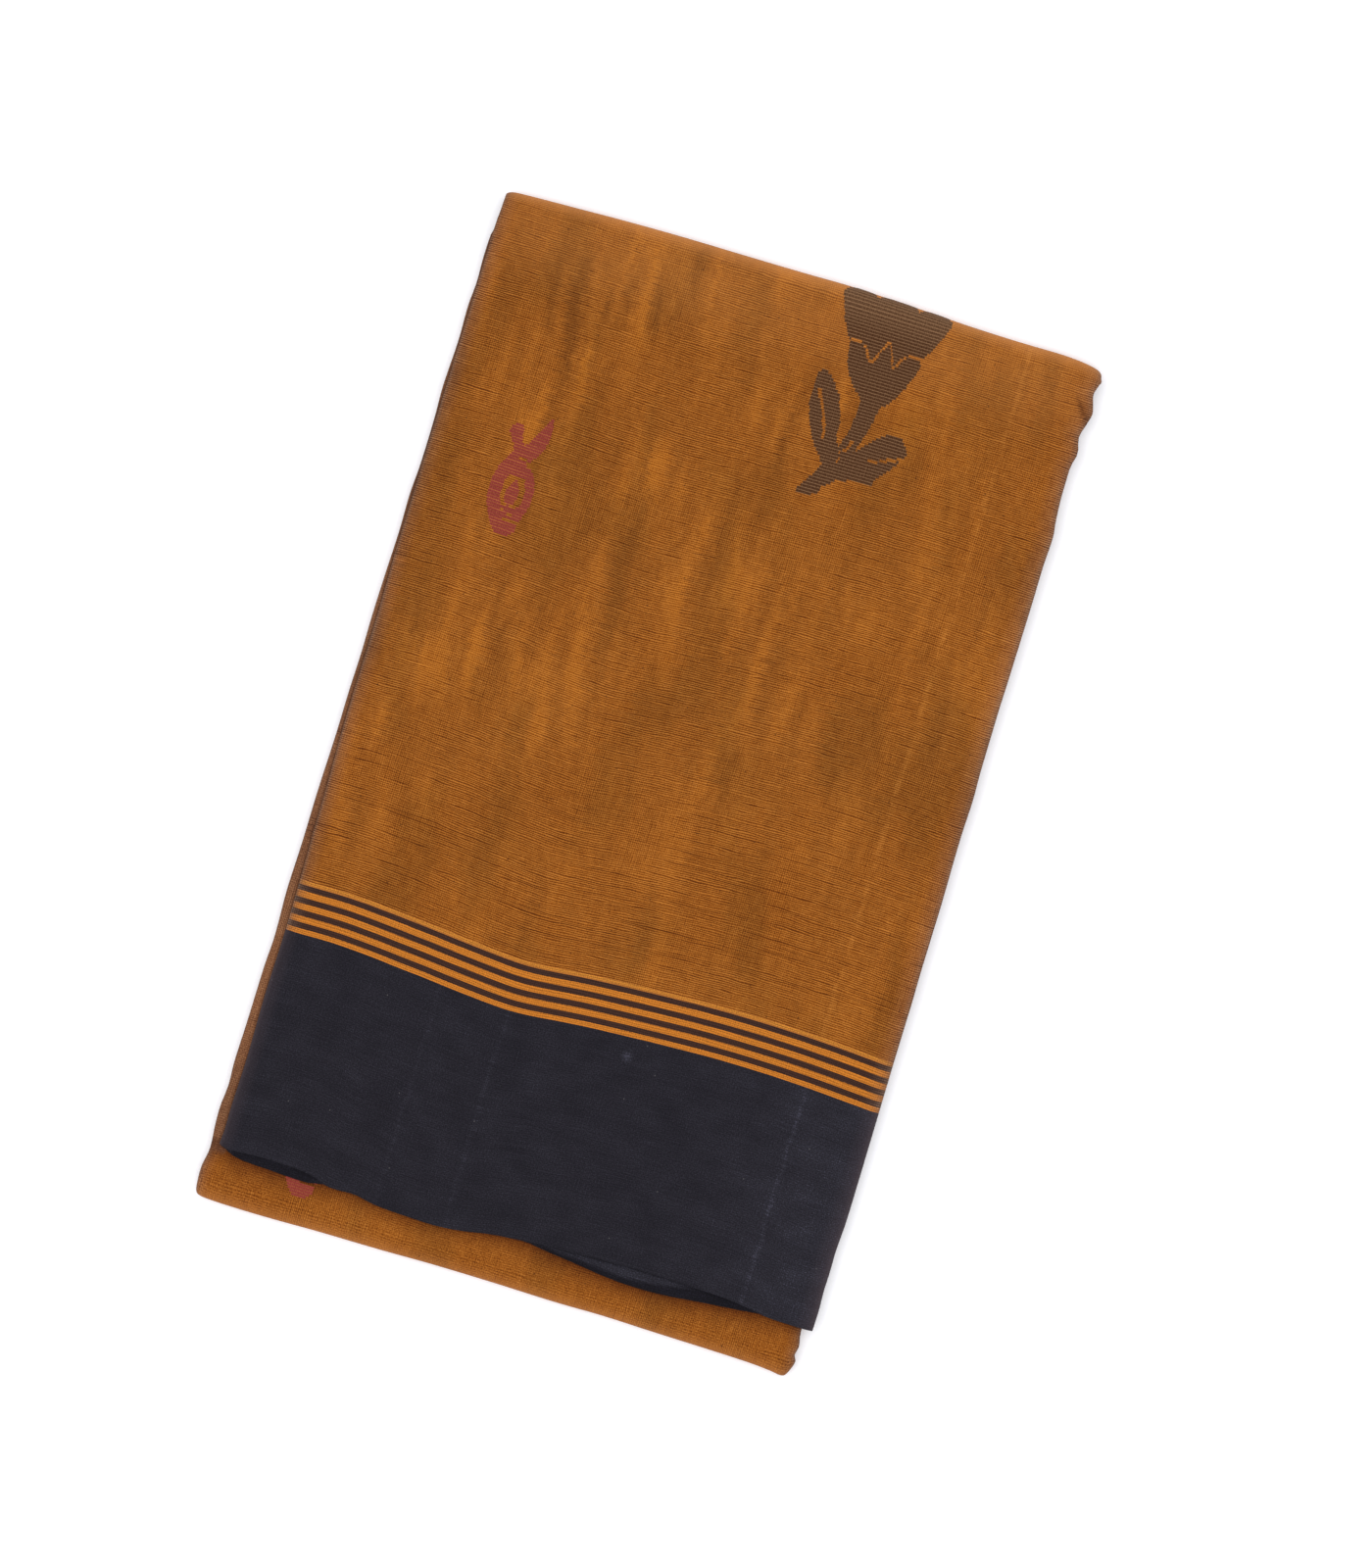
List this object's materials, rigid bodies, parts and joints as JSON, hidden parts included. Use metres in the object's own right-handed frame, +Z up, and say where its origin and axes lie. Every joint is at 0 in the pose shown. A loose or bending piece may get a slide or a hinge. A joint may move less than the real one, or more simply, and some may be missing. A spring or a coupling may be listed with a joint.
{
  "type": "folded cotton saree",
  "caption": "Cotton saree folded flat into a packet, its bordered flap lying over the folded layers with the hem curled a little.",
  "frame": {"origin": "under the middle of the packet's bounding box, on the surface that the packet lies on", "axes": "+Y along the packet's length towards its top fold, +Z up out of the packet's face, +X towards the flap's right-hand fold"},
  "size_m": [0.3536, 0.5899, 0.0196],
  "materials": {
    "shot_cotton": "matte handwoven cotton, orange and dark threads crossing",
    "border_cotton": "matte blue-black handwoven cotton"
  },
  "bodies": {
    "root": {"flap_outer_ply": "shot_cotton", "flap_under_ply": "border_cotton", "packet_outer_ply": "shot_cotton", "folded_layers": "shot_cotton"}
  },
  "joints": []
}
